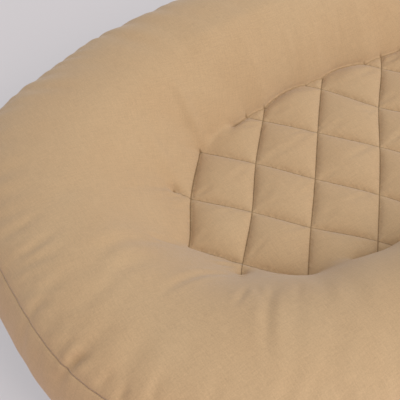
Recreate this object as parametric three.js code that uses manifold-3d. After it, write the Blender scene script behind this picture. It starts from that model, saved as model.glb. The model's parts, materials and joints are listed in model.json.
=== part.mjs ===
// An infant lounger: a plump oval bolster round a diamond-quilted middle, in a cotton cover that
// unzips from its stuffed inner cushion. Millimetres, +Z up. The origin is on the floor under the
// middle of the lounger, +X runs along its length and +Y towards the long side that has the zip.
import * as THREE from "three";
import { mergeVertices } from "three/addons/utils/BufferGeometryUtils.js";
import Module from "manifold-3d";

const wasm = await Module();
wasm.setup();

// Outlines of the lounger seen from above. All of them are ovals fuller than an ellipse.
const SEAM_LENGTH = 814; // across the seam between the top panel and the side band
const SEAM_WIDTH = 516;
const CREST_INSET = 82; // from that seam in to the highest line of the bolster
const OVAL_POWER = 2.7; // 2 would be an ellipse
const QUILT_POWER = 2.5; // the quilting's outline is nearer to one

// Diamond quilting of the middle.
const DIAMOND_LENGTH = 81;
const DIAMOND_WIDTH = 96;
const DIAMOND_COUNT = 6; // along the length
const QUILT_WIDTH = 229;
const PUFF = 6; // how far a diamond's middle swells above its stitch lines
const PUFF_POWER = 0.6; // under 1 swells steeply from the stitches and is full in the middle

// Heights above the floor.
const CREST_LEVEL = 126;
const SEAM_LEVEL = 102;
const QUILT_LEVEL = 43; // the stitch lines

// Shape of the bolster's rounded sections.
const SLOPE_POWER = 1.5; // the inner slope, from the crest down to the quilting
const SHOULDER_POWER = 2.2; // the outer shoulder, from the crest down to the seam
const BAND_BULGE = 19; // how far the side band swells past the seam
const BASE_TUCK = 6; // how far the base outline lies inside the seam outline

// Layers of cloth and filling.
const COVER = 2; // cover cloth with its light interlining
const LINER = 1;
const WADDING = 4; // at the stitch lines, where it is drawn thin
const BACKING = 1;
const LAYER_GAP = 0.5; // between one layer and the next
const SEAM_GAP = 0.3; // between two cloths that meet edge to edge

// Zip in the side band: moulded teeth on woven tape, closed at the +X end.
const CHAIN_LENGTH = 240;
const CHAIN_WIDTH = 6;
const CHAIN_THICKNESS = 2.4;
const TOOTH_PITCH = 3.2; // between teeth of one row
const TOOTH_REACH = 0.9; // how far a tooth's tip passes the middle of the chain
const TOOTH_NECK = 0.9;
const TOOTH_HEAD = 1.3;
const TOOTH_TIP = 0.8;
const BEAD = 1; // the strip along the tape that the teeth stand on
const TAPE_WIDTH = 28; // across both tapes
const TAPE_THICKNESS = 0.8;
const TAPE_TAIL = 10; // tape beyond each end of the chain
const SLOT_WIDTH = 13.4; // the opening in the band that shows the chain
const SLOT_TAIL = 4; // slot beyond each end of the chain's stops
const ZIP_FLAT = 10; // how far the zip draws the band's bulge in
const SLIDER_LENGTH = 11;
const SLIDER_PLATE = 1.2;
const SLIDER_WALL = 0.9;
const POST_LENGTH = 4;
const POST_WIDTH = 0.9;
const RUNNING_GAP = 0.3; // between the slider and what runs in it
const STOP_LENGTH = 2.5;
const STOP_PROUD = 0.6; // how far a stop stands out past the teeth, front and back
const BAIL_SPAN = 6.4;
const BAIL_WIDTH = 1.8;
const BAIL_WIRE = 1;
const PULL_LENGTH = 24;
const PULL_WIDTH = 6.5;
const PULL_WAIST = 4.6;
const PULL_THICKNESS = 1.2;
const PULL_PIN_RADIUS = 0.65;
const PULL_EYE_WIDTH = 3.2;
const PULL_HOLE_WIDTH = 2.6;
const PULL_HOLE_LENGTH = 7;

// How finely the curved forms are divided.
const OVAL_SIDES = 40;
const BAND_STEPS = 4;
const SHOULDER_STEPS = 3;
const SLOPE_STEPS = 3;
const PUFF_STEPS = 3; // steps across one diamond on the face
const LINING_STEPS = 2; // and on the hidden side of the quilting
const PIN_SIDES = 8;
const ROUND_STEPS = 4;

const OVERRUN = 5; // how far a cutting solid passes what it cuts

// Sizes that follow from those above.
const seamHalf = [SEAM_LENGTH / 2, SEAM_WIDTH / 2];
const crestHalf = seamHalf.map((half) => half - CREST_INSET);
const baseHalf = seamHalf.map((half) => half - BASE_TUCK);
const quiltHalf = [(DIAMOND_COUNT * DIAMOND_LENGTH) / 2, QUILT_WIDTH / 2];
const bandBottom = COVER + SEAM_GAP;
const zipLevel = (bandBottom + SEAM_LEVEL) / 2;
const bandFront = seamHalf[1] - BASE_TUCK / 2 + BAND_BULGE - ZIP_FLAT;
const plateInner = CHAIN_THICKNESS / 2 + RUNNING_GAP; // slider's channel, from the tape's middle
const plateOuter = plateInner + SLIDER_PLATE;
const tapeLevel = bandFront - COVER - SEAM_GAP - TAPE_THICKNESS / 2;
const linerFront = tapeLevel - plateOuter - LAYER_GAP;
const underQuilt = QUILT_LEVEL - COVER - LAYER_GAP;
const wadFloor = underQuilt - WADDING;
const backingTop = wadFloor - LAYER_GAP;
const linerTop = backingTop - BACKING - LAYER_GAP;
const padTop = linerTop - LINER - LAYER_GAP;
const linerBottom = COVER + LAYER_GAP;
const fillBottom = linerBottom + LINER + LAYER_GAP;
const linerDepth = COVER + LAYER_GAP;
const fillDepth = linerDepth + LINER + LAYER_GAP;

// A closed solid from a geometry whose corners may be repeated.
function solid(geometry) {
  const bare = geometry.index ? geometry.toNonIndexed() : geometry.clone();
  bare.deleteAttribute("normal");
  bare.deleteAttribute("uv");
  const merged = mergeVertices(bare, 1e-4);
  return new wasm.Manifold(
    new wasm.Mesh({
      numProp: 3,
      vertProperties: merged.getAttribute("position").array,
      triVerts: new Uint32Array(merged.index.array),
    }),
  );
}

function solidOfTriangles(triangles) {
  const geometry = new THREE.BufferGeometry().setFromPoints(triangles.flat());
  return solid(geometry);
}

// The geometry of a solid, with flat facets.
function geometryOf(body) {
  const mesh = body.getMesh();
  const positions = new Float32Array(mesh.numVert * 3);
  for (let i = 0; i < mesh.numVert; i++)
    positions.set(mesh.vertProperties.subarray(i * mesh.numProp, i * mesh.numProp + 3), i * 3);
  const indexed = new THREE.BufferGeometry()
    .setAttribute("position", new THREE.BufferAttribute(positions, 3))
    .setIndex(new THREE.BufferAttribute(mesh.triVerts, 1));
  const flat = indexed.toNonIndexed();
  flat.computeVertexNormals();
  return flat;
}

// One oval row of points, anticlockwise seen from above.
function ovalRow([halfLength, halfWidth], level, power = OVAL_POWER) {
  const reach = (share) => Math.sign(share) * Math.abs(share) ** (2 / power);
  return Array.from({ length: OVAL_SIDES }, (_, i) => {
    const angle = (2 * Math.PI * i) / OVAL_SIDES;
    return new THREE.Vector3(
      halfLength * reach(Math.cos(angle)),
      halfWidth * reach(Math.sin(angle)),
      level,
    );
  });
}

// A row round the quilting, let out by a margin.
function quiltRow(margin, level) {
  return ovalRow(quiltHalf.map((half) => half + margin), level, QUILT_POWER);
}

// A solid whose wall passes through rows of points, each row joined to the next. A ring's last row
// joins its first; otherwise both ends are closed flat.
function loft(rows, ring = false) {
  const triangles = [];
  const links = ring ? rows.length : rows.length - 1;
  for (let k = 0; k < links; k++) {
    const low = rows[k];
    const high = rows[(k + 1) % rows.length];
    low.forEach((a, i) => {
      const j = (i + 1) % low.length;
      triangles.push([a, low[j], high[j]], [a, high[j], high[i]]);
    });
  }
  if (!ring) {
    const [first, last] = [rows[0], rows.at(-1)];
    const middle = (row) => row.reduce((sum, p) => sum.add(p), new THREE.Vector3())
      .divideScalar(row.length);
    const [under, over] = [middle(first), middle(last)];
    first.forEach((a, i) => triangles.push([under, first[(i + 1) % first.length], a]));
    last.forEach((a, i) => triangles.push([over, a, last[(i + 1) % last.length]]));
  }
  return solidOfTriangles(triangles);
}

// A level slab as wide as the quilting and a margin.
function quiltSlab(margin, bottom, top) {
  return loft([quiltRow(margin, bottom), quiltRow(margin, top)]);
}

// Everything on the outer side of an upright plane across Y.
function beyond(level) {
  const reach = SEAM_LENGTH;
  return solid(new THREE.BoxGeometry(reach, reach, reach).translate(0, level + reach / 2, 0));
}

// Rows of the cover's outer face, from the base up the band, over the shoulder and the crest, and
// down the inner slope to the quilting.
const skin = [];
for (let i = 0; i < BAND_STEPS; i++) {
  const climb = i / BAND_STEPS;
  const bulge = BAND_BULGE * 4 * climb * (1 - climb);
  const half = baseHalf.map((low, k) => low + (seamHalf[k] - low) * climb + bulge);
  skin.push(ovalRow(half, bandBottom + (SEAM_LEVEL - bandBottom) * climb));
}
const SEAM_ROW = skin.length;
for (let i = 0; i < SHOULDER_STEPS; i++) {
  const angle = ((i / SHOULDER_STEPS) * Math.PI) / 2;
  const out = Math.cos(angle) ** (2 / SHOULDER_POWER);
  const up = Math.sin(angle) ** (2 / SHOULDER_POWER);
  const half = crestHalf.map((crest) => crest + CREST_INSET * out);
  skin.push(ovalRow(half, SEAM_LEVEL + (CREST_LEVEL - SEAM_LEVEL) * up));
}
for (let i = 0; i <= SLOPE_STEPS; i++) {
  const angle = ((i / SLOPE_STEPS) * Math.PI) / 2;
  const inward = Math.sin(angle) ** (2 / SLOPE_POWER);
  const up = Math.cos(angle) ** (2 / SLOPE_POWER);
  const half = crestHalf.map((crest, k) => crest + (quiltHalf[k] - crest) * inward);
  const power = OVAL_POWER + (QUILT_POWER - OVAL_POWER) * inward;
  skin.push(ovalRow(half, QUILT_LEVEL + (CREST_LEVEL - QUILT_LEVEL) * up, power));
}
skin.push(quiltRow(0, QUILT_LEVEL - COVER));

// The outward direction at each point of the skin.
const outward = skin.map((row, k) => row.map((point, i) => {
  const along = row[(i + 1) % row.length].clone().sub(row.at(i - 1));
  const above = skin[Math.min(k + 1, skin.length - 1)][i];
  const across = above.clone().sub(skin[Math.max(k - 1, 0)][i]);
  return along.cross(across).normalize();
}));

// The skin's rows moved in by a depth, to make the layers under it.
function layer(depth) {
  return skin.map((row, k) => row.map((p, i) => p.clone().addScaledVector(outward[k][i], -depth)));
}

// The first row of some rows, moved a little way towards the next.
function trimmed(rows, gap) {
  const [first, next] = rows;
  const edge = first.map((p, i) => p.clone().add(
    next[i].clone().sub(p).setLength(gap),
  ));
  return [edge, ...rows.slice(1)];
}

// A cloth between two layers of rows, open in the middle.
function clothRing(outer, inner) {
  return loft([...outer, ...[...inner].reverse()], true);
}

// The same solid drawn in flat where the zip's tension pulls it: its wall is cut off at a plane and
// a flat wall of cloth closes the cut.
function drawnFlat(wall, body, front, thickness) {
  const patch = body.subtract(beyond(front)).intersect(beyond(front - thickness));
  return wall.subtract(beyond(front)).add(patch);
}

// Quilting: cells between the two families of diagonal stitch lines, numbered along them.
function stitchPoint(a, b, level) {
  const x = -quiltHalf[0] + ((a + b) / 2) * DIAMOND_LENGTH;
  return new THREE.Vector3(x, ((b - a) / 2) * DIAMOND_WIDTH, level);
}

const cells = [];
const spare = Math.ceil(QUILT_WIDTH / DIAMOND_WIDTH); // cells past the outline on each side
for (let a = -spare; a < DIAMOND_COUNT + spare; a++)
  for (let b = -spare; b < DIAMOND_COUNT + spare; b++)
    if (Math.abs(a - b) <= spare) cells.push([a, b]);

// A solid under the quilting's swelling face, down to a flat floor.
function quiltBlock(steps, drop, floor) {
  const rise = (a, b) => {
    const share = Math.abs(Math.sin(Math.PI * a) * Math.sin(Math.PI * b));
    return share < 1e-9 ? 0 : PUFF * share ** PUFF_POWER;
  };
  const top = (a, b) => stitchPoint(a, b, QUILT_LEVEL - drop + rise(a, b));
  const bottom = (a, b) => stitchPoint(a, b, floor);
  const held = new Set(cells.map(([a, b]) => a + " " + b));
  const triangles = [];
  for (const [a, b] of cells)
    for (let i = 0; i < steps; i++)
      for (let j = 0; j < steps; j++) {
        const corners = [[i, j], [i, j + 1], [i + 1, j + 1], [i + 1, j]]
          .map(([p, q]) => [a + p / steps, b + q / steps]);
        const up = corners.map(([p, q]) => top(p, q));
        const down = corners.map(([p, q]) => bottom(p, q));
        const first = rise(...corners[0]) + rise(...corners[2]) >= rise(...corners[1])
          + rise(...corners[3]) ? 0 : 1; // the split along the ridge, never across it
        const at = (list, k) => list[(first + k) % 4];
        for (const [p, q, r] of [[0, 1, 2], [0, 2, 3]]) {
          triangles.push([at(up, p), at(up, r), at(up, q)]);
          triangles.push([at(down, p), at(down, q), at(down, r)]);
        }
        const walls = [
          [i === 0, a - 1, b, 0, 1],
          [j === steps - 1, a, b + 1, 1, 2],
          [i === steps - 1, a + 1, b, 2, 3],
          [j === 0, a, b - 1, 3, 0],
        ];
        for (const [edge, m, n, p, q] of walls)
          if (edge && !held.has(m + " " + n))
            triangles.push([up[p], up[q], down[q]], [up[p], down[q], down[p]]);
      }
  return solidOfTriangles(triangles);
}

// Cover.
function coverTopPanel() {
  const outer = trimmed(skin.slice(SEAM_ROW), SEAM_GAP / 2);
  const inner = trimmed(layer(COVER).slice(SEAM_ROW), SEAM_GAP / 2);
  const roll = clothRing(outer, inner);
  const middle = layer(COVER / 2).slice(-3).reverse();
  const plug = loft([quiltRow(COVER / 2, underQuilt - OVERRUN), ...middle]);
  const face = quiltBlock(PUFF_STEPS, 0, underQuilt).intersect(plug);
  const under = quiltBlock(LINING_STEPS, COVER, underQuilt - OVERRUN);
  return roll.add(face.subtract(under));
}

function coverSideBand() {
  const turned = (rows) => [...rows.slice(0, SEAM_ROW), ...trimmed([rows[SEAM_ROW],
    rows[SEAM_ROW - 1]], SEAM_GAP / 2).slice(0, 1)];
  const outer = turned(skin);
  const wall = clothRing(outer, turned(layer(COVER)));
  const flat = drawnFlat(wall, loft(outer), bandFront, COVER);
  const slotLength = CHAIN_LENGTH + 2 * (STOP_LENGTH + SLOT_TAIL);
  const slot = new THREE.BoxGeometry(slotLength, COVER + 2 * OVERRUN, SLOT_WIDTH);
  return flat.subtract(solid(slot.translate(0, bandFront - COVER / 2, zipLevel)));
}

function coverBasePanel() {
  return loft([ovalRow(baseHalf, 0), ovalRow(baseHalf, COVER)]);
}

// Quilting layers under the face cloth.
function quiltWadding() {
  const block = quiltBlock(LINING_STEPS, COVER + LAYER_GAP, wadFloor - OVERRUN);
  return block.intersect(quiltSlab(-LAYER_GAP, wadFloor, QUILT_LEVEL + PUFF));
}

function quiltBacking() {
  return quiltSlab(-LAYER_GAP, backingTop - BACKING, backingTop);
}

// Inner cushion.
const LINER_ROW = Math.ceil(BAND_STEPS / 2); // where the casing's two halves meet

function caseRows(depth, floor) {
  return [...layer(depth), quiltRow(depth, floor)];
}

function linerUpper() {
  const outer = trimmed(caseRows(linerDepth, linerTop).slice(LINER_ROW), SEAM_GAP);
  const depth = linerDepth + LINER;
  const inner = trimmed(caseRows(depth, linerTop - LINER).slice(LINER_ROW), SEAM_GAP);
  const wall = loft([...inner.reverse(), ...outer]);
  return drawnFlat(wall, loft(outer), linerFront, LINER);
}

function linerLower() {
  const rows = (depth, floor, tuck) => [
    ovalRow(baseHalf.map((half) => half - depth - tuck), floor),
    ...layer(depth).slice(0, LINER_ROW + 1),
  ];
  const outer = rows(linerDepth, linerBottom, LINER);
  const inner = rows(linerDepth + LINER, linerBottom + LINER, LINER);
  const wall = loft([...outer, ...inner.reverse()]);
  return drawnFlat(wall, loft(outer), linerFront, LINER);
}

function bolsterFill() {
  const rows = [
    ovalRow(baseHalf.map((half) => half - fillDepth - LINER), fillBottom),
    ...layer(fillDepth),
    quiltRow(fillDepth, fillBottom),
  ];
  return loft(rows, true).subtract(beyond(linerFront - LINER - LAYER_GAP));
}

function centrePad() {
  return quiltSlab(linerDepth + LINER, fillBottom, padTop);
}

// Zip, in its own frame: x along the chain, y out of the band, z up, the chain's middle at zero.
const zipEnd = CHAIN_LENGTH / 2;
const noseEnd = zipEnd; // the closed slider's nose
const tailEnd = noseEnd - SLIDER_LENGTH;
const spread = TOOTH_REACH + POST_WIDTH / 2 + RUNNING_GAP; // of each row, beside the post
const partStart = tailEnd + SLIDER_WALL;
const partEnd = noseEnd - SLIDER_WALL - POST_LENGTH;

// How far each row stands off the middle at a place along the chain.
function parting(x) {
  return spread * THREE.MathUtils.clamp((x - partStart) / (partEnd - partStart), 0, 1);
}

// A plate of an outline drawn in x and z, between two levels of y.
function plate(points, low, high, holes = []) {
  const outline = (list) => list.map(([x, z]) => new THREE.Vector2(x, z));
  const shape = new THREE.Shape(outline(points));
  holes.forEach((hole) => shape.holes.push(new THREE.Path(outline(hole))));
  const geometry = new THREE.ExtrudeGeometry(shape, { depth: high - low, bevelEnabled: false });
  return solid(geometry.rotateX(Math.PI / 2).translate(0, high, 0));
}

const mirrored = (points) => points.map(([x, z]) => [x, -z]).reverse();

// A row of teeth on its bead. side is 1 for the upper row and -1 for the lower.
function zipTeeth(side) {
  const outer = CHAIN_WIDTH / 2;
  const root = outer - BEAD;
  const start = -zipEnd + STOP_LENGTH + RUNNING_GAP;
  const shift = side > 0 ? TOOTH_PITCH / 2 : TOOTH_PITCH;
  const count = Math.floor((zipEnd - start - shift) / TOOTH_PITCH) + 1;
  const edge = [];
  for (let i = 0; i < count; i++) {
    const x = start + shift + i * TOOTH_PITCH;
    const lift = parting(x);
    edge.push(
      [x - TOOTH_NECK / 2, root + lift],
      [x - TOOTH_HEAD / 2, lift],
      [x - TOOTH_TIP / 2, -TOOTH_REACH + lift],
      [x + TOOTH_TIP / 2, -TOOTH_REACH + lift],
      [x + TOOTH_HEAD / 2, lift],
      [x + TOOTH_NECK / 2, root + lift],
    );
  }
  const finish = noseEnd + STOP_LENGTH / 2;
  const back = [finish, partEnd, partStart, start].map((x) => [x, outer + parting(x)]);
  const outline = [[start, root], ...edge, [finish, root + spread], ...back];
  const half = CHAIN_THICKNESS / 2;
  return plate(side > 0 ? outline : mirrored(outline), -half, half);
}

function zipTape(side) {
  const inner = CHAIN_WIDTH / 2 + RUNNING_GAP;
  const reach = zipEnd + TAPE_TAIL;
  const edge = [-reach, partStart, partEnd, reach].map((x) => [x, inner + parting(x)]);
  const outline = [...edge, [reach, TAPE_WIDTH / 2], [-reach, TAPE_WIDTH / 2]];
  const half = TAPE_THICKNESS / 2;
  return plate(side > 0 ? outline : mirrored(outline), -half, half);
}

// A stop at the closed end of one row, too thick to enter the slider.
function zipStop(side) {
  const start = noseEnd + STOP_LENGTH / 2 + RUNNING_GAP;
  const finish = start + STOP_LENGTH;
  const low = spread - TOOTH_REACH + RUNNING_GAP;
  const high = CHAIN_WIDTH / 2 + spread;
  const outline = [[start, low], [finish, low], [finish, high], [start, high]];
  const half = CHAIN_THICKNESS / 2 + STOP_PROUD;
  return plate(side > 0 ? outline : mirrored(outline), -half, half);
}

function zipBottomStop() {
  const finish = -zipEnd + STOP_LENGTH;
  const high = CHAIN_WIDTH / 2;
  const outline = [[-zipEnd, -high], [finish, -high], [finish, high], [-zipEnd, high]];
  const half = CHAIN_THICKNESS / 2 + STOP_PROUD;
  return plate(outline, -half, half);
}

const bailMiddle = (tailEnd + noseEnd) / 2;
const pinLevel = plateOuter + RUNNING_GAP + PULL_THICKNESS / 2;

// Two plates joined by a post, with flanges that keep the rows in.
function zipSlider() {
  const inner = CHAIN_WIDTH / 2 + RUNNING_GAP;
  const places = [tailEnd, partStart, partEnd, noseEnd];
  const channel = places.map((x) => [x, inner + parting(x)]);
  const rim = places.map((x) => [x, inner + SLIDER_WALL + parting(x)]);
  const body = [...mirrored(rim).reverse(), ...[...rim].reverse()];
  const flange = [...channel, ...[...rim].reverse()];
  const lip = TAPE_THICKNESS / 2 + RUNNING_GAP;
  const postEnd = partEnd + POST_LENGTH;
  const post = [
    [partEnd, 0],
    [partEnd + POST_WIDTH, -POST_WIDTH / 2],
    [postEnd, -POST_WIDTH / 2],
    [postEnd, POST_WIDTH / 2],
    [partEnd + POST_WIDTH, POST_WIDTH / 2],
  ];
  const pieces = [plate(post, -plateOuter, plateOuter)];
  for (const face of [1, -1]) {
    const between = (p, q) => [Math.min(face * p, face * q), Math.max(face * p, face * q)];
    pieces.push(plate(body, ...between(plateInner, plateOuter)));
    for (const points of [flange, mirrored(flange)])
      pieces.push(plate(points, ...between(lip, plateOuter)));
  }
  pieces.push(zipBail());
  return pieces.reduce((whole, piece) => whole.add(piece));
}

// The arch on the slider's front that holds the pull.
function zipBail() {
  const half = BAIL_SPAN / 2;
  const room = half - BAIL_WIRE;
  const roof = pinLevel + PULL_PIN_RADIUS + RUNNING_GAP;
  const foot = plateOuter - SLIDER_PLATE / 2;
  const shape = new THREE.Shape([
    [-half, foot], [-room, foot], [-room, roof], [room, roof], [room, foot], [half, foot],
    [half, roof], [room, roof + BAIL_WIRE], [-room, roof + BAIL_WIRE], [-half, roof],
  ].map(([x, y]) => new THREE.Vector2(x, y)));
  const arch = new THREE.ExtrudeGeometry(shape, { depth: BAIL_WIDTH, bevelEnabled: false });
  return solid(arch.translate(bailMiddle, 0, -BAIL_WIDTH / 2));
}

// A tab with an eye at one end, whose end bar is the pin that turns in the bail.
function zipPull() {
  const eyeEnd = BAIL_SPAN / 2 + BAIL_WIRE;
  const arc = (x, radius) => Array.from({ length: ROUND_STEPS + 1 }, (_, i) => {
    const angle = (Math.PI * (i / ROUND_STEPS + 0.5));
    return [x + radius * Math.cos(angle), radius * Math.sin(angle)];
  });
  const half = PULL_WIDTH / 2;
  const waist = eyeEnd + SLIDER_WALL;
  const outline = [
    [0, -PULL_WAIST / 2], [0, PULL_WAIST / 2], [-waist, PULL_WAIST / 2],
    ...arc(-PULL_LENGTH + half, half), [-waist, -PULL_WAIST / 2],
  ];
  const eye = [
    [-PULL_PIN_RADIUS / 2, -PULL_EYE_WIDTH / 2], [-PULL_PIN_RADIUS / 2, PULL_EYE_WIDTH / 2],
    [-eyeEnd, PULL_EYE_WIDTH / 2], [-eyeEnd, -PULL_EYE_WIDTH / 2],
  ];
  const holeEnd = -PULL_LENGTH + half + PULL_HOLE_WIDTH / 2;
  const round = arc(holeEnd, PULL_HOLE_WIDTH / 2);
  const hole = [...round, ...round.map(([x, z]) => [2 * holeEnd + PULL_HOLE_LENGTH
    - PULL_HOLE_WIDTH - x, -z])];
  const thick = PULL_THICKNESS / 2;
  const pin = new THREE.CylinderGeometry(PULL_PIN_RADIUS, PULL_PIN_RADIUS, PULL_WAIST, PIN_SIDES);
  return plate(outline, -thick, thick, [eye, hole]).add(solid(pin.rotateX(Math.PI / 2)));
}

// Finishes.
const cloth = (color) => new THREE.MeshStandardMaterial({ color, roughness: 0.92, metalness: 0 });
const coverCloth = cloth("#bb9f78");
const baseCloth = cloth("#b0946f");
const tapeCloth = cloth("#b3966e");
const linerCloth = cloth("#ece8df");
const filling = cloth("#f3f1ec");
const teethPlastic = new THREE.MeshStandardMaterial({ color: "#a98c63", roughness: 0.45, metalness: 0 });
const sliderMetal = new THREE.MeshStandardMaterial({ color: "#a88d68", roughness: 0.4, metalness: 0.3 });

function part(name, body, material) {
  const mesh = new THREE.Mesh(geometryOf(body), material);
  mesh.name = name;
  return mesh;
}

const cover = new THREE.Group();
cover.add(
  part("cover_top_panel", coverTopPanel(), coverCloth),
  part("cover_side_band", coverSideBand(), coverCloth),
  part("cover_base_panel", coverBasePanel(), baseCloth),
  part("quilt_wadding", quiltWadding(), filling),
  part("quilt_backing", quiltBacking(), linerCloth),
);

const cushion = new THREE.Group();
cushion.add(
  part("liner_upper", linerUpper(), linerCloth),
  part("liner_lower", linerLower(), linerCloth),
  part("bolster_fill", bolsterFill(), filling),
  part("centre_pad", centrePad(), filling),
);

const pull = part("zip_pull", zipPull(), sliderMetal);
pull.position.set(bailMiddle, pinLevel, 0);

const zip = new THREE.Group();
zip.position.set(0, tapeLevel, zipLevel);
zip.add(
  part("zip_tape_upper", zipTape(1), tapeCloth),
  part("zip_tape_lower", zipTape(-1), tapeCloth),
  part("zip_teeth_upper", zipTeeth(1), teethPlastic),
  part("zip_teeth_lower", zipTeeth(-1), teethPlastic),
  part("zip_stop_upper", zipStop(1), teethPlastic),
  part("zip_stop_lower", zipStop(-1), teethPlastic),
  part("zip_bottom_stop", zipBottomStop(), teethPlastic),
  part("zip_slider", zipSlider(), sliderMetal),
  pull,
);

const lounger = new THREE.Group();
lounger.add(cover, cushion, zip);

export default lounger;
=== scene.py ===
"""Looks of the infant lounger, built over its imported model. Metres, +Z up, in the model's frame."""

import json
import math

import bmesh
import bpy
import numpy as np
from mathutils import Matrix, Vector, noise
from mathutils.geometry import delaunay_2d_cdt

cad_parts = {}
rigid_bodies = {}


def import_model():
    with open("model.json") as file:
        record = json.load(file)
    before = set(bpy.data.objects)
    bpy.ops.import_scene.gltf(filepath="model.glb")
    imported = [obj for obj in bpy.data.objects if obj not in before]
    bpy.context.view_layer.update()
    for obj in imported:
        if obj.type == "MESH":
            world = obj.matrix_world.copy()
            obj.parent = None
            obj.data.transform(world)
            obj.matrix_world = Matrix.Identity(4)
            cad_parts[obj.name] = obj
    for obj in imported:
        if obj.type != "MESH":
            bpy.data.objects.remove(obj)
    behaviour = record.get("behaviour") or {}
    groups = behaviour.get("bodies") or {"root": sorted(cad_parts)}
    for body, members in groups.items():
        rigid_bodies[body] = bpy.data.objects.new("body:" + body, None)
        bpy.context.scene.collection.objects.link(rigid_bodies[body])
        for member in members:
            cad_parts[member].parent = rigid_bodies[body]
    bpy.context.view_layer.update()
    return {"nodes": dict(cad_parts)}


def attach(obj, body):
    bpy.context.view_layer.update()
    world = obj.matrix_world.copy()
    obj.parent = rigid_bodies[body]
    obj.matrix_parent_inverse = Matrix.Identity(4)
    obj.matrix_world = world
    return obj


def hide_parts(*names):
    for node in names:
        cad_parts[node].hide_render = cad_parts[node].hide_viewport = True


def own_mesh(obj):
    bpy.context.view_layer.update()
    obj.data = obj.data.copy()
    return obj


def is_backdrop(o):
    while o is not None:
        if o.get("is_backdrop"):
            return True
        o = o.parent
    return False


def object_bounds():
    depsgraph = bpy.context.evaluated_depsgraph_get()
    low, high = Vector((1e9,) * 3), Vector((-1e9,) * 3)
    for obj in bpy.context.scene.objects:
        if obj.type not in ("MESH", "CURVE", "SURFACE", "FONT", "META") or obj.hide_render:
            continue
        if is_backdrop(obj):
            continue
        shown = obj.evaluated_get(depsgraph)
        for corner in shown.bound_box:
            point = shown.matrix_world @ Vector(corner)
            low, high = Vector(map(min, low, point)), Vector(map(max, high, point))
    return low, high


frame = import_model()
for node in frame["nodes"].values():
    node.select_set(False)
rng = np.random.default_rng(7)

# The cover's shape, as in the model: half sizes of its ovals in plan, and levels.
SEAM = np.array([0.407, 0.258])
CREST = np.array([0.325, 0.176])
BASE = np.array([0.401, 0.252])
CREST_LEVEL, SEAM_LEVEL, QUILT_LEVEL, BAND_BOTTOM = 0.126, 0.102, 0.043, 0.0023
OVAL_POWER, SLOPE_POWER, SHOULDER_POWER = 2.7, 1.5, 2.2
BAND_BULGE = 0.019
BAND_FRONT = 0.264
BAND_LENGTH = 0.105  # of its cloth, from the seam to the base
PUFF = 0.0072  # how high the quilting stands between its lines before it is inflated
CLOTH_FRAMES = 20  # of the simulation that inflates the cover
FAR_OFF = 9.0  # farther than anything on the lounger

# The stitch lattice of the quilting. A place (a, b) counts along the two families of lines.
LATTICE_START = -0.243
DIAMOND = np.array([0.081, 0.096])
LINES = [  # (number, first, last) of each line, the same in both families
    (0, 0.0, 2.0), (1, -0.27, 3.3), (2, 0.0, 4.28), (3, 0.7, 5.3), (4, 1.72, 6.0), (5, 2.7, 6.27),
    (6, 4.0, 6.0),
]
# How far hand guiding let the crossings wander from the lattice, in millimetres. The other end of the
# lounger has the same, turned half round.
WANDER = {
    (0, 0): (5.3, -4.3), (0, 1): (-2.1, -2.1), (0, 2): (-1.3, -1.7), (1, 0): (-1.1, 1.5), (1, 1): (0.5, -0.5),
    (1, 2): (-0.9, 2.0), (1, 3): (-0.1, 0.6), (2, 1): (-1.4, 1.2), (2, 2): (-1.1, 0.4), (2, 3): (-0.1, 2.7),
    (2, 4): (3.4, 6.2), (3, 1): (3.6, 1.7), (3, 2): (1.3, -2.9), (3, 3): (3.2, -0.8), (3, 4): (-0.2, -2.6),
    (3, 5): (2.7, -3.4),
}
WANDER_REACH = 0.036  # how far from a crossing its wandering is felt
CELL_SHARES = [0, 0.03, 0.085, 0.17, 0.28, 0.39, 0.5, 0.61, 0.72, 0.83, 0.915, 0.97]
ROUND = 384  # points round each row of the bolster
# A quarter of the line where the bolster starts, and where it bows out between two ends of stitching.
FOOT_CORNERS = [(0.243, 0), (0.162, 0.096), (0.093, 0.1104)]
SCALLOP, SCALLOP_DEPTH = (0.0113, 0.0689), 0.0048
# Where the filling has moved to: the middle of each spot, its width and how far out it swells.
FULL_SPOTS = [((-0.345, 0.178), 0.086, 0.0165), ((-0.215, 0.245), 0.06, 0.004)]


def plan_of(a, b):
    """The place in plan of the point (a, b) of the stitch lattice."""
    return np.stack([LATTICE_START + (a + b) / 2 * DIAMOND[0], (b - a) / 2 * DIAMOND[1]], -1)


def lattice_of(plan):
    """The lattice numbers a and b of places in plan."""
    total = (plan[..., 0] - LATTICE_START) / DIAMOND[0] * 2
    spread = plan[..., 1] / DIAMOND[1] * 2
    return (total - spread) / 2, (total + spread) / 2


def wandered(plan):
    """How far the cloth at places in plan has wandered with the crossings."""
    known, moves = [], []
    for (a, b), move in WANDER.items():
        known.append(plan_of(a, b))
        moves.append(move)
        if a < 3:
            known.append(plan_of(6 - a, 6 - b))
            moves.append((-move[0], -move[1]))
    known, moves = np.array(known), np.array(moves) / 1000

    def near(p, q):
        return np.exp(-((p[:, None] - q[None]) ** 2).sum(-1) / (2 * WANDER_REACH**2))

    return near(plan, known) @ np.linalg.solve(near(known, known), moves)


def even_ring(outline, count):
    """A closed outline walked round in even steps from its first point."""
    ring = np.vstack([outline, outline[:1]])
    walked = np.concatenate([[0], np.cumsum(np.linalg.norm(np.diff(ring, axis=0), axis=1))])
    places = np.linspace(0, walked[-1], count, endpoint=False)
    return np.stack([np.interp(places, walked, ring[:, k]) for k in range(2)], -1)


def oval(half, count=ROUND):
    """A full oval in plan, anticlockwise from +X, in even steps."""
    angle = np.linspace(0, 2 * math.pi, 7200, endpoint=False)
    turns = [np.sign(t) * np.abs(t) ** (2 / OVAL_POWER) for t in (np.cos(angle), np.sin(angle))]
    return even_ring(np.stack([half[0] * turns[0], half[1] * turns[1]], -1), count)


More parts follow.
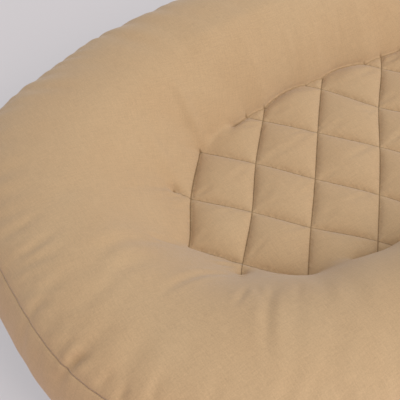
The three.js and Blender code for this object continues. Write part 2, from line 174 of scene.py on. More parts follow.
def foot_line(count):
    """The line where the bolster starts to rise, pointed at both ends, where the last stitches hold it."""
    quarter = np.array(FOOT_CORNERS)
    outline = np.vstack([quarter, quarter[:0:-1] * (-1, 1), quarter * (-1, -1), quarter[:0:-1] * (1, -1)])
    ring = even_ring(outline, count)
    for corner in outline:
        ring[np.argmin(np.linalg.norm(ring - corner, axis=1))] = corner
    near, far = SCALLOP
    share = np.clip((np.abs(ring[:, 0]) - near) / (far - near), 0, 1)
    ring[:, 1] += np.sign(ring[:, 1]) * SCALLOP_DEPTH * np.sin(math.pi * share) ** 0.8
    return ring


def smooth(value, low, high):
    """0 at low, 1 at high and smooth between."""
    t = np.clip((value - low) / (high - low), 0, 1)
    return t * t * (3 - 2 * t)


def bell(off, width):
    """1 where nothing is off, falling away over a width."""
    return np.exp(-((off / width) ** 2))


def furrow(off, width, pushed):
    """A dip at a distance off its middle, with the cloth beside it pushed up by a share of it."""
    return bell(off, width) - pushed * bell(np.abs(off) - 1.9 * width, width)


def even_shares(height, run, step):
    """Shares along a profile at even steps of its length. height gives the rise at a share of its run."""
    fine = np.linspace(0, 1, 400)
    length = np.concatenate([[0], np.cumsum(np.hypot(np.diff(fine) * run, np.diff(height(fine))))])
    return np.interp(np.linspace(0, length[-1], round(length[-1] / step) + 1), length, fine)


def wall(share):
    """The bolster's steep inner side, as a share of its height."""
    return (1 - (1 - share) ** SLOPE_POWER) ** (1 / SLOPE_POWER) * (1 - np.exp(-share / 0.035))


def valley(share):
    """The gentle inner side at the ends, as a share of the bolster's height."""
    return (0.5 - 0.5 * np.cos(math.pi * share)) ** 0.85


def shoulder(share):
    """How far out and up the outer shoulder is at a share of its quarter turn, from the crest."""
    turn = share * math.pi / 2
    return np.sin(turn) ** (2 / SHOULDER_POWER), np.cos(turn) ** (2 / SHOULDER_POWER)


def nearest_on(plan, ring):
    """Distance in plan from each place to a closed ring, and the nearest place on it."""
    best, place = np.full(len(plan), FAR_OFF), np.zeros((len(plan), 2))
    for p, q in zip(ring, np.roll(ring, -1, axis=0)):
        share = np.clip(((plan - p) @ (q - p)) / ((q - p) @ (q - p)), 0, 1)
        spot = p + share[:, None] * (q - p)
        off = np.linalg.norm(plan - spot, axis=1)
        nearer = off < best
        best[nearer], place[nearer] = off[nearer], spot[nearer]
    return best, place


def slope_level(plan, foot, crest):
    """Height of the bolster's inner side: steep along the long sides and a gentle rise at the two ends."""
    low, spot = nearest_on(plan, foot)
    high, _ = nearest_on(plan, crest)
    share = low / (low + high)
    x = np.abs(spot[:, 0])
    steep = np.where(spot[:, 1] > 0, 0.7 * (1 - smooth(x, 0.06, 0.15)), 1 - smooth(x, 0.14, 0.215))
    level = QUILT_LEVEL + (CREST_LEVEL - QUILT_LEVEL) * (steep * wall(share) + (1 - steep) * valley(share))
    level += smooth(x, 0.14, 0.165) * 0.0045 * (1 - np.exp(-low / 0.005)) * (1 - share) ** 3
    between = bell(x - 0.128, 0.019) * (spot[:, 1] < 0)
    return level + between * 0.006 * (1 - np.exp(-low / 0.012)) * (1 - share) ** 1.5


def level_ring(outline, level):
    """Points over an outline in plan, at one level or at one for each."""
    return np.column_stack([outline, np.full(len(outline), level) if np.isscalar(level) else level])


def skin(step, count):
    """The cover's skin in rows, from the quilting over the bolster and down the band, and the seam's row."""
    rise, fall = CREST_LEVEL - QUILT_LEVEL, CREST_LEVEL - SEAM_LEVEL
    foot, crest = foot_line(count), oval(CREST, count)
    run = np.linalg.norm(crest - foot, axis=1).mean()
    rows = []
    shares = even_shares(lambda t: rise * (wall(t) + valley(t)) / 2, run, step)
    for share in np.concatenate([[0, 0.018], shares[1:]]):
        plan = foot + (crest - foot) * share
        rows.append(level_ring(plan, slope_level(plan, foot, crest)))
    reach = (SEAM - CREST).mean()
    for share in np.linspace(0, 1, round((reach + fall * 0.6) / step) + 1)[1:]:
        out, up = (max(float(k), 0.0) for k in shoulder(share))
        rows.append(level_ring(oval(CREST + (SEAM - CREST) * out, count), SEAM_LEVEL + fall * up))
    seam_row = len(rows) - 1
    for climb in np.linspace(1, 0, round(BAND_LENGTH / step) + 1)[1:]:
        bulge = BAND_BULGE * 4 * climb * (1 - climb)
        level = BAND_BOTTOM + (SEAM_LEVEL - BAND_BOTTOM) * climb
        rows.append(level_ring(oval(BASE + (SEAM - BASE) * climb + bulge, count), level))
    return np.array(rows), seam_row


def fuller(points):
    """The outer side stands fuller round one corner, where the filling has moved to."""
    plan = points[..., :2]
    outward = plan / np.linalg.norm(plan, axis=-1, keepdims=True)
    side = smooth(np.linalg.norm(plan / CREST, axis=-1), 0.85, 1.1)
    swelling = 0.0
    for spot, width, most in FULL_SPOTS:
        swelling = swelling + most * bell(np.linalg.norm(plan - np.array(spot), axis=-1), width)
    moved = points.copy()
    moved[..., :2] += outward * (side * swelling)[..., None]
    return moved


def within(plan, ring):
    """Which places in plan lie inside a closed ring, and how far each is from it."""
    following = np.roll(ring, -1, axis=0)
    crossed, nearest = np.zeros(len(plan), int), np.full(len(plan), FAR_OFF)
    for p, q in zip(ring, following):
        d = q - p
        share = np.clip(((plan - p) @ d) / (d @ d), 0, 1)
        nearest = np.minimum(nearest, np.linalg.norm(plan - p - share[:, None] * d, axis=1))
        if abs(d[1]) > 1e-12:
            straddles = (p[1] > plan[:, 1]) != (q[1] > plan[:, 1])
            crossed += straddles & (plan[:, 0] < p[0] + (plan[:, 1] - p[1]) / d[1] * d[0])
    return crossed % 2 == 1, nearest


def quilt_fill(ring):
    """The points inside the quilting's outline on the stitch lattice, and the faces that join them to it."""
    marks = np.concatenate([cell + np.array(CELL_SHARES) for cell in range(-1, 7)])
    a, b = np.meshgrid(marks, marks, indexing="ij")
    inside = plan_of(a.ravel(), b.ravel())
    held, nearest = within(inside, ring)
    kept = held & (nearest > 0.0016)
    inside = inside[kept]
    count = len(ring)
    points = [Vector(p) for p in np.vstack([ring, inside])]
    found = delaunay_2d_cdt(points, [(i, (i + 1) % count) for i in range(count)], [], 1, 1e-7)
    if len(found[0]) != len(points):
        raise ValueError("the quilting's points changed")
    faces = [tuple(i - count if i >= count else i + len(inside) for i in face) for face in found[2]]
    return inside, nearest[kept], faces


def line_distance(a, b):
    """Distance in plan from lattice places to the nearest stitch line."""
    side = math.hypot(*DIAMOND) / 2
    best = np.full(a.shape, FAR_OFF)
    for across, along in ((a, b), (b, a)):
        for number, first, last in LINES:
            past = np.maximum(0, np.maximum(first - along, along - last))
            best = np.minimum(best, np.hypot(across - number, past) * side)
    return best


def new_piece(name, points, faces):
    mesh = bpy.data.meshes.new(name)
    mesh.from_pydata([tuple(p) for p in points], [], faces)
    mesh.validate()
    piece = bpy.data.objects.new(name, mesh)
    bpy.context.scene.collection.objects.link(piece)
    for face in mesh.polygons:
        face.use_smooth = True
    return piece


def points_of(piece):
    found = np.empty(len(piece.data.vertices) * 3)
    piece.data.vertices.foreach_get("co", found)
    return found.reshape(-1, 3)


def set_points(piece, points):
    piece.data.vertices.foreach_set("co", np.ascontiguousarray(points, float).ravel())
    piece.data.update()


def normals_of(piece):
    found = np.empty(len(piece.data.vertices) * 3, np.float32)
    piece.data.vertex_normals.foreach_get("vector", found)
    return found.reshape(-1, 3).astype(float)


def write_number(piece, name, values):
    layer = piece.data.attributes.new(name, "FLOAT", "POINT")
    layer.data.foreach_set("value", np.asarray(values, np.float32))


def read_number(piece, name):
    layer = piece.data.attributes[name]
    found = np.empty(len(layer.data), np.float32)
    layer.data.foreach_get("value", found)
    return found.astype(float)


def corners_of(piece):
    """For each corner of each face, its point and its face."""
    point = np.empty(len(piece.data.loops), int)
    piece.data.loops.foreach_get("vertex_index", point)
    size = np.empty(len(piece.data.polygons), int)
    piece.data.polygons.foreach_get("loop_total", size)
    return point, np.repeat(np.arange(len(size)), size)


def write_map(piece, name, places):
    """Writes a UV map from one place for each corner of each face."""
    layer = piece.data.uv_layers.new(name=name)
    layer.data.foreach_set("uv", np.asarray(places, np.float32).ravel())


def alone(piece):
    """Selects one piece and makes it active."""
    bpy.ops.object.select_all(action="DESELECT")
    piece.select_set(True)
    bpy.context.view_layer.objects.active = piece


def finish_with(piece, kind, **settings):
    """Adds a modifier to a piece and applies it."""
    alone(piece)
    modifier = piece.modifiers.new("shape", kind)
    for name, value in settings.items():
        setattr(modifier, name, value)
    bpy.ops.object.modifier_apply(modifier="shape")


def inflate(piece, held, grown, pressure, growth, cap):
    """Lets the cloth swell over its filling: Blender's cloth under pressure, with the sewn places held."""
    start = points_of(piece)
    for name, weights in (("held", held), ("grown", grown)):
        group = piece.vertex_groups.new(name=name)
        rounded = np.round(weights, 2)
        for weight in np.unique(rounded[weights > 0]):
            group.add([int(i) for i in np.flatnonzero(rounded == weight)], float(weight), "REPLACE")
    alone(piece)
    cloth = piece.modifiers.new("cloth", "CLOTH")
    settings = cloth.settings
    settings.quality = 5
    settings.mass = 0.2
    settings.tension_stiffness = settings.compression_stiffness = 20
    settings.shear_stiffness = 8
    settings.bending_stiffness = 0.3
    settings.tension_damping = settings.compression_damping = settings.shear_damping = 8
    settings.use_pressure = True
    settings.uniform_pressure_force = pressure
    settings.effector_weights.gravity = 0
    settings.vertex_group_mass = "held"
    settings.pin_stiffness = 1
    settings.vertex_group_shrink = "grown"
    settings.shrink_min = 0
    settings.shrink_max = -growth
    cloth.collision_settings.use_collision = False
    cloth.point_cache.frame_start = 1
    cloth.point_cache.frame_end = CLOTH_FRAMES
    for number in range(1, CLOTH_FRAMES + 1):
        bpy.context.scene.frame_set(number)
    moved = points_of(piece.evaluated_get(bpy.context.evaluated_depsgraph_get())) - start
    size = np.linalg.norm(moved, axis=1)
    piece.modifiers.remove(cloth)
    piece.vertex_groups.clear()
    bpy.context.scene.frame_set(1)
    return start + moved * np.minimum(1, cap / np.maximum(size, 1e-9))[:, None]


# The cover, made as one cloth and parted at its seam later.
rows, seam_row = skin(step=0.006, count=ROUND)
row_count = len(rows)
inside, from_edge, fill = quilt_fill(rows[0, :, :2])
ring_start = len(inside)
flat = np.vstack([level_ring(inside, QUILT_LEVEL), rows.reshape(-1, 3)])
faces = list(fill)
for k in range(row_count - 1):
    low, high = ring_start + k * ROUND, ring_start + (k + 1) * ROUND
    for i in range(ROUND):
        j = (i + 1) % ROUND
        faces.append((low + i, high + i, high + j, low + j))

ring = (np.arange(len(flat)) - ring_start) // ROUND
spoke = np.where(ring >= 0, (np.arange(len(flat)) - ring_start) % ROUND, 0)
in_quilt = ring < 0
a, b = lattice_of(flat[:, :2])
sewn = line_distance(a, b)
steps = np.linalg.norm(np.diff(rows, axis=0), axis=2)
walked = np.vstack([np.zeros(ROUND), np.cumsum(steps, axis=0)])
from_foot = np.where(in_quilt, 0, walked[np.maximum(ring, 0), spoke])
from_seam = np.where(in_quilt, 0.2, walked[seam_row, spoke] - from_foot)

start = flat.copy()
swell = np.abs(np.sin(math.pi * a) * np.sin(math.pi * b)) ** 0.68
foot_x = np.abs(rows[0, spoke, 0])
foot_x[in_quilt] = np.abs(nearest_on(inside, rows[0, :, :2])[1][:, 0])
open_edge = smooth(foot_x, 0.114, 0.124) * (1 - smooth(foot_x, 0.146, 0.158))
fade = open_edge * (1 - smooth(from_foot, 0, 0.03))
fade[in_quilt] += (1 - open_edge[in_quilt]) * smooth(from_edge, -0.004, 0.014)
fade[(ring >= 0) & (open_edge == 0)] = 0
start[:, 2] += PUFF * swell * fade
tail = (ring > 0) & (sewn < 0.012) & (np.abs(flat[:, 0]) > 0.15)
sink = bell(sewn, 0.0055) * tail
start[:, 2] += (QUILT_LEVEL + 0.002 - start[:, 2]) * sink

held = np.zeros(len(flat))
held[(ring <= 0) & (sewn < 0.0007)] = 1
held[(ring >= 0) & (ring <= 1) & (sewn < 0.0024)] = 1
held[tail & (sewn < 0.0026)] = 1
held[(ring == seam_row) | (ring == row_count - 1)] = 1
held[(ring == 0) & (held < 1)] = 0.02
bowed = (np.abs(flat[:, 0]) > 0.014) & (np.abs(flat[:, 0]) < 0.066)
held[(ring == 0) & bowed] = 0.6

# The folds that the outline's corners send up the bolster are eased out.
net = new_piece("links", flat, faces)
links = np.array([tuple(side.vertices) for side in net.data.edges])
bpy.data.objects.remove(net)
degree = np.bincount(links.ravel(), minlength=len(flat))[:, None]


def eased(values, weight, times):
    """Values at the cloth's points, each drawn towards its neighbours' mean."""
    values = values.copy()
    for _ in range(times):
        total = np.zeros_like(values)
        for k in range(3):
            for here, there in (links.T, links.T[::-1]):
                total[:, k] += np.bincount(here, values[there, k], len(flat))
        values += (total / degree - values) * weight[:, None]
    return values


slope = (ring > 1) * (1 - smooth(ring, seam_row - 8, seam_row - 2))
beside = in_quilt.copy()
beside[in_quilt] = from_edge < 0.012
near_open = open_edge * ((ring >= 0) | beside)
free = held < 0.5
start = eased(start, 0.6 * np.maximum(smooth(foot_x, 0.075, 0.10) * slope, near_open) * free, 30)

start[:, :2] += wandered(flat[:, :2]) * bell(from_foot, 0.05)[:, None]
start = fuller(start)

cover = new_piece("cover", start, faces)
grown = 0.2 * in_quilt + 0.8 * bell(from_seam, 0.045)
moved = inflate(cover, held, grown, pressure=14, growth=0.05, cap=0.014) - start
settled = np.maximum(slope * (1 - smooth(ring, seam_row - 9, seam_row - 4)), near_open)
set_points(cover, start + eased(moved, 0.5 * settled * free, 25))

turn = 2 * math.pi * spoke / ROUND
edge_distance = from_foot.copy()
edge_distance[in_quilt] = -from_edge
creased = 1 - smooth(foot_x, 0.110, 0.122) + 0.6 * smooth(foot_x, 0.158, 0.166)
for name, values in (
    ("from_seam", from_seam), ("round_cos", np.cos(turn)), ("round_sin", np.sin(turn)),
    ("sewn", np.minimum(sewn, 0.05)), ("edge_distance", edge_distance), ("creased", creased),
):
    write_number(cover, name, values)

point, face = corners_of(cover)
seam_steps = np.diff(np.vstack([rows[seam_row], rows[seam_row][:1]]), axis=0)
SEAM_ROUND = float(np.linalg.norm(seam_steps, axis=1).sum())
spread_out = flat[:, :2].copy()
first = rows[0, :, :2]
for k in range(1, row_count):
    out = rows[k, :, :2] - first
    out /= np.linalg.norm(out, axis=1)[:, None]
    spread_out[ring_start + k * ROUND : ring_start + (k + 1) * ROUND] = first + out * walked[k][:, None]
lowest_ring = np.full(len(cover.data.polygons), 999)
np.minimum.at(lowest_ring, face, ring[point])
on_band = lowest_ring >= seam_row
farthest = np.zeros(len(cover.data.polygons), int)
np.maximum.at(farthest, face, spoke[point])
wraps = on_band[face] & (farthest[face] == ROUND - 1) & (spoke[point] == 0)
band_map = np.stack([(spoke[point] / ROUND + wraps) * SEAM_ROUND, -from_seam[point]], -1)
write_map(cover, "weave", np.where(on_band[face][:, None], band_map, spread_out[point]))
write_map(cover, "stitching", np.stack([a, b], -1)[point] / 10)
cover.data.polygons.foreach_set("material_index", on_band.astype(int))
finish_with(cover, "SUBSURF", levels=1, render_levels=1)


# Stitches draw the cloth down, and the seam gathers it.
def route_distance(plan, route):
    """Distance of places in plan from a route of points, and the share of the way along it."""
    route = np.array(route)
    lengths = np.linalg.norm(np.diff(route, axis=0), axis=1)
    best, along = np.full(len(plan), FAR_OFF), np.zeros(len(plan))
    walked = 0.0
    for p, q, length in zip(route, route[1:], lengths):
        share = np.clip(((plan - p) @ (q - p)) / length**2, 0, 1)
        off = np.linalg.norm(plan - p - share[:, None] * (q - p), axis=1)
        nearer = off < best
        best[nearer] = off[nearer]
        along[nearer] = ((walked + share * length) / lengths.sum())[nearer]
        walked += length
    return best, along


def press_fold(shape, normals, route, width, depth):
    """Presses a fold along a route in plan, fading at its two ends, with the cloth beside it pushed up."""
    route = np.array(route)
    low, high = route.min(axis=0) - 4 * width, route.max(axis=0) + 4 * width
    near = np.flatnonzero(((shape[:, :2] > low) & (shape[:, :2] < high)).all(axis=1) & (shape[:, 2] > 0.03))
    off, along = route_distance(shape[near, :2], route)
    deep = depth * np.sin(math.pi * np.clip(along, 0.02, 0.98)) ** 0.7 * furrow(off, width, 0.4)
    shape[near] -= normals[near] * deep[:, None]


shape, normals = points_of(cover), normals_of(cover)
sewn, from_seam = read_number(cover, "sewn"), read_number(cover, "from_seam")
bearing = np.arctan2(read_number(cover, "round_sin"), read_number(cover, "round_cos"))
place = bearing % (2 * math.pi) / (2 * math.pi) * SEAM_ROUND
shape[:, 2] -= 0.0009 * bell(sewn, 0.0014) + 0.0012 * bell(sewn, 0.0045)
edge_distance, creased = read_number(cover, "edge_distance"), read_number(cover, "creased")
shape -= normals * (0.0009 * creased * bell(edge_distance, 0.003))[:, None]

# Folds of the top: each has a route in plan, a width and a depth, in millimetres. A depth below zero is a
# ridge. The other end has them too.
FOLDS = [
    ([(-403, 24), (-379, 19), (-351, 21)], 4.5, 1.7), ([(-397, 48), (-377, 45), (-354, 45)], 4.5, 1.3),
    ([(-403, 13), (-384, 8), (-362, 2)], 4, 1.6), ([(-404, -8), (-372, -26)], 3.5, 0.9),
    ([(-404, -23), (-378, -37)], 4, 0.6), ([(-399, -46), (-364, -54), (-330, -49)], 5, 0.8),
    ([(-400, -50), (-378, -61)], 3, 0.6), ([(-396, -70), (-377, -77)], 3, 1.0),
    ([(-400, -84), (-390, -87), (-378, -93)], 3, 1.7), ([(-386, -116), (-370, -112)], 3, 1.3),
    ([(-380, -134), (-365, -127)], 3, 1.4), ([(-358, -147), (-344, -139)], 3.5, 1.0),
    ([(-226, -69), (-240, -65), (-258, -64), (-275, -67), (-291, -71), (-309, -77)], 4, 1.3),
    ([(-216, -111), (-234, -124), (-252, -146), (-259, -157), (-265, -168)], 4.6, 1.3),
    ([(-204, -128), (-222, -146), (-242, -167), (-254, -186)], 6, 0.5),
    ([(-236, -99), (-250, -109), (-263, -117)], 3, 0.9),
    ([(-229, -99), (-235, -112), (-242, -125)], 3.5, 0.5), ([(-177, -118), (-197, -158)], 6, 0.4),
    ([(-163, -139), (-176, -167), (-176, -192)], 8, 0.7), ([(-200, -122), (-214, -135)], 3, 0.5),
    ([(-214, 60), (-245, 55)], 3, 0.8), ([(-214, 57), (-239, 41)], 3, 0.6),
    ([(-95, 108), (-121, 104)], 3, 1.0), ([(-238, -6), (-290, -10), (-350, -10)], 6, 0.9),
    ([(-204, 125), (-176, 104)], 8, 0.4), ([(-345, 62), (-300, 55)], 9, 0.7),
    ([(-349, -33), (-280, -43)], 7, 0.5), ([(-150, 205), (-138, 170), (-140, 140)], 8, 0.7),
    ([(-60, 215), (-52, 175), (-58, 150)], 9, 0.8), ([(30, 215), (26, 180), (34, 150)], 8, 0.7),
    ([(-20, -215), (-30, -180), (-24, -150)], 8, 0.8),
    ([(-110, -215), (-104, -186), (-110, -158)], 7, 0.8),
    ([(-368, -26), (-338, -24), (-306, -5), (-280, -5)], 6, 0.6),
    ([(-368, -48), (-341, -46), (-306, -34), (-285, -34)], 6, 0.6),
    ([(-230, -75), (-221, -76)], 2.6, 1.5),
    ([(-159, 97), (-160, 107), (-162, 116), (-163, 126), (-165, 146)], 6, -2.0),
    ([(-213, 63), (-214, 82), (-216, 93), (-220, 103), (-225, 120)], 7, -1.5),
    ([(-127, 109), (-139, 102), (-149, 95)], 4, 0.7), ([(-285, 48), (-252, 54), (-217, 63)], 4, 0.7),
    ([(-24, 124), (-22, 134), (-22, 152)], 3.5, -0.5), ([(10, 121), (12, 133), (15, 155)], 3.5, -0.5),
    ([(38, 119), (44, 127), (47, 149)], 3.5, 0.5), ([(-212, 60), (-222, 59)], 2.6, 1.5),
]
for turned in (1, -1):
    for route, width, deep in FOLDS:
        press_fold(shape, normals, np.array(route) * turned / 1000, width / 1000, deep / 1000)
for a in range(7):
    for b in range(7):
        crossing = plan_of(float(a), float(b))
        if not within(crossing[None], rows[0, :, :2])[0][0]:
            continue
        for way in (1, -1):
            for _ in range(2):
                heading = rng.uniform(-0.4, 0.4)
                ahead = np.array([math.cos(heading), math.sin(heading)]) * way
                begin = crossing + wandered(crossing[None])[0] + ahead * rng.uniform(0.003, 0.010)
                begin = begin + rng.uniform(-0.006, 0.006, 2)
                end = begin + ahead * rng.uniform(0.018, 0.042)
                width, deep = rng.uniform(0.002, 0.004), rng.uniform(0.0003, 0.0010)
                press_fold(shape, normals, [begin, end], width, deep)

# Gathers along the seam: each one's place, width, length, depth and slant. The first is the deep one.
deep_spoke = np.argmin(np.linalg.norm(rows[seam_row, :, :2] - np.array([-0.399, -0.0865]), axis=1))
gathers = [(deep_spoke / ROUND * SEAM_ROUND, 0.0035, 0.030, 0.0026, 0.15)]
spot = 0.0
while spot < SEAM_ROUND:
    width, length = rng.uniform(0.003, 0.0065), rng.uniform(0.022, 0.085)
    gathers.append((spot, width, length, rng.uniform(0.0003, 0.0014), rng.uniform(-0.3, 0.3)))
    spot += rng.uniform(0.011, 0.026)
reach = np.abs(from_seam)
near = np.flatnonzero(reach < 0.12)
depth = np.zeros(len(shape))
for spot, width, length, size, slant in gathers:
    side = np.where(from_seam[near] >= 0, 1.0, 0.75)
    off = (place[near] - spot - slant * from_seam[near] + SEAM_ROUND / 2) % SEAM_ROUND - SEAM_ROUND / 2
    wide = width + 0.09 * reach[near]
    fade = bell(reach[near], length * side) * (1 - 0.6 * bell(reach[near], 0.004))
    depth[near] += size * fade * furrow(off, wide, 0.45)
shape -= normals * depth[:, None]
shape -= normals * (0.0006 * bell(from_seam, 0.0028))[:, None]

# The zip's tension draws the band flat round it.
drawn = (
    (1 - smooth(np.abs(shape[:, 0]), 0.15, 0.215))
    * smooth(shape[:, 2], 0.010, 0.028)
    * (1 - smooth(shape[:, 2], 0.078, 0.097))
)
proud = np.maximum(shape[:, 1] - BAND_FRONT, 0) * drawn
off_zip = np.abs(shape[:, 2] - 0.0521)
ripple = 0.00025 * np.sin(shape[:, 0] / 0.0052) * smooth(off_zip, 0.009, 0.02) * (proud > 0)
shape[:, 1] -= proud + ripple
set_points(cover, shape)


class Reading:
    """A number that a finish works out over the surface. Sums and products add Math nodes."""

    def __init__(self, finish, socket):
        self.finish, self.socket = finish, socket

    def __add__(self, other):
        return self.finish.maths("ADD", self, other)

    def __sub__(self, other):
        return self.finish.maths("SUBTRACT", self, other)

    def __rsub__(self, other):
        return self.finish.maths("SUBTRACT", other, self)

    def __mul__(self, other):
        return self.finish.maths("MULTIPLY", self, other)

    __radd__, __rmul__ = __add__, __mul__


class Finish:
    """A material of one principled shader, whose colour and relief are worked out from readings."""

    def __init__(self, name, colour, roughness, **fixed):
        self.material = bpy.data.materials.new(name)
        self.material.use_nodes = True
        self.tree = self.material.node_tree
        self.shader = self.tree.nodes["Principled BSDF"]
        for socket, value in {"Base Color": (*colour, 1), "Roughness": roughness, **fixed}.items():
            self.shader.inputs[socket].default_value = value

    def node(self, kind, settings=None, sockets=None, output=0):
        made = self.tree.nodes.new(kind)
        for name, value in (settings or {}).items():
            setattr(made, name, value)
        for name, value in (sockets or {}).items():
            if isinstance(value, Reading):
                self.tree.links.new(value.socket, made.inputs[name])
            elif value is not None:
                made.inputs[name].default_value = value
        return Reading(self, made.outputs[output])

    def maths(self, operation, first, second=None):
        return self.node("ShaderNodeMath", {"operation": operation}, {0: first, 1: second})

    def vector(self, operation, first, second=None, output=0):
        return self.node("ShaderNodeVectorMath", {"operation": operation}, {0: first, 1: second}, output)

    def smooth(self, value, low, high):
        """0 below low, 1 above high and smooth between."""
        sockets = {"Value": value, "From Min": low, "From Max": high}
        return self.node("ShaderNodeMapRange", {"interpolation_type": "SMOOTHSTEP"}, sockets)

    def near(self, value, low, high):
        """1 below low, 0 above high and smooth between."""
        return 1.0 - self.smooth(value, low, high)

    def mixed(self, share, first, second):
        """A colour part of the way from first to second."""
        first, second = (c if isinstance(c, Reading) else (*c, 1) for c in (first, second))
        return self.node("ShaderNodeMix", {"data_type": "RGBA"}, {0: share, 6: first, 7: second}, 2)

    def shaded(self, colour, light):
        """A colour made lighter or darker by a number."""
        grey = self.node("ShaderNodeCombineXYZ", {}, {0: light, 1: light, 2: light})
        return self.vector("MULTIPLY", colour, grey)

    def noise(self, vector, scale, detail=2.0, roughness=0.5):
        sockets = {"Vector": vector, "Scale": scale, "Detail": detail, "Roughness": roughness}
        return self.node("ShaderNodeTexNoise", {"noise_dimensions": "3D"}, sockets)

    def parts(self, vector):
        apart = self.node("ShaderNodeSeparateXYZ", {}, {0: vector}).socket.node
        return [Reading(self, socket) for socket in apart.outputs]

    def place(self):
        return self.node("ShaderNodeTexCoord", output=3)

    def attribute(self, name):
        return self.node("ShaderNodeAttribute", {"attribute_name": name}, output=2)

    def feed(self, name, value):
        self.tree.links.new(value.socket, self.shader.inputs[name])

    def relief(self, height, distance, strength=1.0, under=None):
        sockets = {"Height": height, "Distance": distance, "Strength": strength, "Normal": under}
        return self.node("ShaderNodeBump", {}, sockets)


def tinted(colour, *shares):
    """A colour with each of its parts changed by a share."""
    return tuple(part * share for part, share in zip(colour, shares))


def sewn_distance(finish, across, along):
    """Distances to the nearest stitch line of one family and to the nearest end of one, in metres."""
    line, end = None, None
    for number, first, last in LINES:
        before, after = first - along, along - last
        past = finish.maths("MAXIMUM", finish.maths("MAXIMUM", before, after), 0.0)
        tip = finish.maths("MINIMUM", finish.maths("ABSOLUTE", before), finish.maths("ABSOLUTE", after))
        off = across - float(number)
        far_line, far_end = past * past + off * off, tip * tip + off * off
        line = far_line if line is None else finish.maths("MINIMUM", line, far_line)
        end = far_end if end is None else finish.maths("MINIMUM", end, far_end)
    return [finish.maths("SQRT", far) * (math.hypot(*DIAMOND) / 2) for far in (line, end)]


def woven_cloth(name, colour, thread, seamed=False, sewn_lines=False, slub=0.17):
    """Plain-woven cotton: threads over and under each other, slubs along them, and a soft, uneven dye."""
    sheen = {"Sheen Weight": 0.25, "Sheen Roughness": 0.5, "Specular IOR Level": 0.25}
    finish = Finish(name, colour, 0.88, **sheen)
    place = finish.place()
    weave = finish.node("ShaderNodeUVMap", {"uv_map": "weave"})
    warp, weft, _ = finish.parts(weave)
    count = math.pi / thread
    over = finish.maths("SINE", warp * count) * finish.maths("SINE", weft * count)
    across, along = 1 / (2 * thread), 1 / (22 * thread)
    along_warp = finish.noise(finish.vector("MULTIPLY", weave, (across, along, 0)), 1.0, 2.0)
    along_weft = finish.noise(finish.vector("MULTIPLY", weave, (along, across, 0)), 1.0, 2.0)
    slubs = along_warp + along_weft - 1.0
    grain = finish.noise(place, 900.0, 1.0)
    cloud = finish.noise(place, 14.0, 3.0)
    light = 1.0 + over * 0.05 + slubs * slub + (grain - 0.5) * 0.26 + (cloud - 0.5) * 0.10
    tint = finish.mixed(cloud, tinted(colour, 1.02, 0.975, 0.95), tinted(colour, 0.985, 1.01, 1.05))
    normal, painted_shade = None, 0.0
    if sewn_lines:
        lattice = finish.parts(finish.node("ShaderNodeUVMap", {"uv_map": "stitching"}))
        a, b = lattice[0] * 10.0, lattice[1] * 10.0
        (first, first_end), (second, second_end) = sewn_distance(finish, a, b), sewn_distance(finish, b, a)
        to_edge = finish.maths("ABSOLUTE", finish.attribute("edge_distance"))
        to_end = finish.maths("MINIMUM", first_end, second_end)
        # Painted shade: the cloth darkens towards brown in the stitch grooves, more along the first family,
        # whose grooves lie across the light, in the dimples at the lines' ends, and in the crease where the
        # quilting meets the bolster.
        painted_shade = finish.near(first, 0.0001, 0.0010) * 0.78
        for mark in (
            finish.near(second, 0.0001, 0.0008) * 0.42,
            finish.near(to_edge, 0.0, 0.0012) * finish.attribute("creased") * 0.4,
            finish.near(to_end, 0.0004, 0.0023) * 0.65,
        ):
            painted_shade = finish.maths("MAXIMUM", painted_shade, mark)
        beside = finish.near(finish.maths("MINIMUM", first, second), 0.0, 0.006)
        pucker = (finish.noise(place, 190.0, 2.0) - 0.5) * beside
        normal = finish.relief(pucker, 0.0016, 1.0)
    coloured = finish.shaded(tint, light)
    if seamed:
        # Painted shade in the seam's gap. The mix below darkens the cloth towards one brown for all painted
        # shade.
        seam = finish.maths("ABSOLUTE", finish.attribute("from_seam"))
        painted_shade = finish.maths("MAXIMUM", painted_shade, finish.near(seam, 0.0, 0.0011) * 0.25)
        coloured = finish.mixed(painted_shade, coloured, tinted(colour, 0.34, 0.26, 0.14))
    finish.feed("Base Color", coloured)
    height = over * 0.5 + slubs * 0.8 + (grain - 0.5) * 0.6
    finish.feed("Normal", finish.relief(height, thread * 0.3, 0.6, normal))
    return finish.material


COVER_COLOUR = (0.488, 0.331, 0.184)
top_cloth = woven_cloth("cover_cloth_sewn", COVER_COLOUR, 0.00065, True, True)
band_cloth = woven_cloth("cover_cloth", COVER_COLOUR, 0.00065, True)
cover.data.materials.append(top_cloth)
cover.data.materials.append(band_cloth)


def edge_turned_in(piece, edge, away):
    """Folds the raw edge of a cloth into the seam."""
    shape = points_of(piece)
    shape[edge, 2] += away * 0.00008
    set_points(piece, shape)
    alone(piece)
    bpy.ops.object.mode_set(mode="EDIT")
    bpy.ops.mesh.select_mode(type="EDGE")
    bpy.ops.mesh.select_all(action="DESELECT")
    bpy.ops.object.mode_set(mode="OBJECT")
    for side in piece.data.edges:
        side.select = bool(edge[side.vertices[0]] and edge[side.vertices[1]])
    count = len(piece.data.vertices)
    bpy.ops.object.mode_set(mode="EDIT")
    bpy.ops.mesh.extrude_region_move()
    bpy.ops.object.mode_set(mode="OBJECT")
    shape = points_of(piece)
    turned = np.arange(len(shape)) >= count
    inward = -shape[turned] * (1, 1, 0)
    inward /= np.linalg.norm(inward, axis=1)[:, None]
    shape[turned] += inward * 0.005 + np.array([0, 0, away * 0.0006])
    set_points(piece, shape)


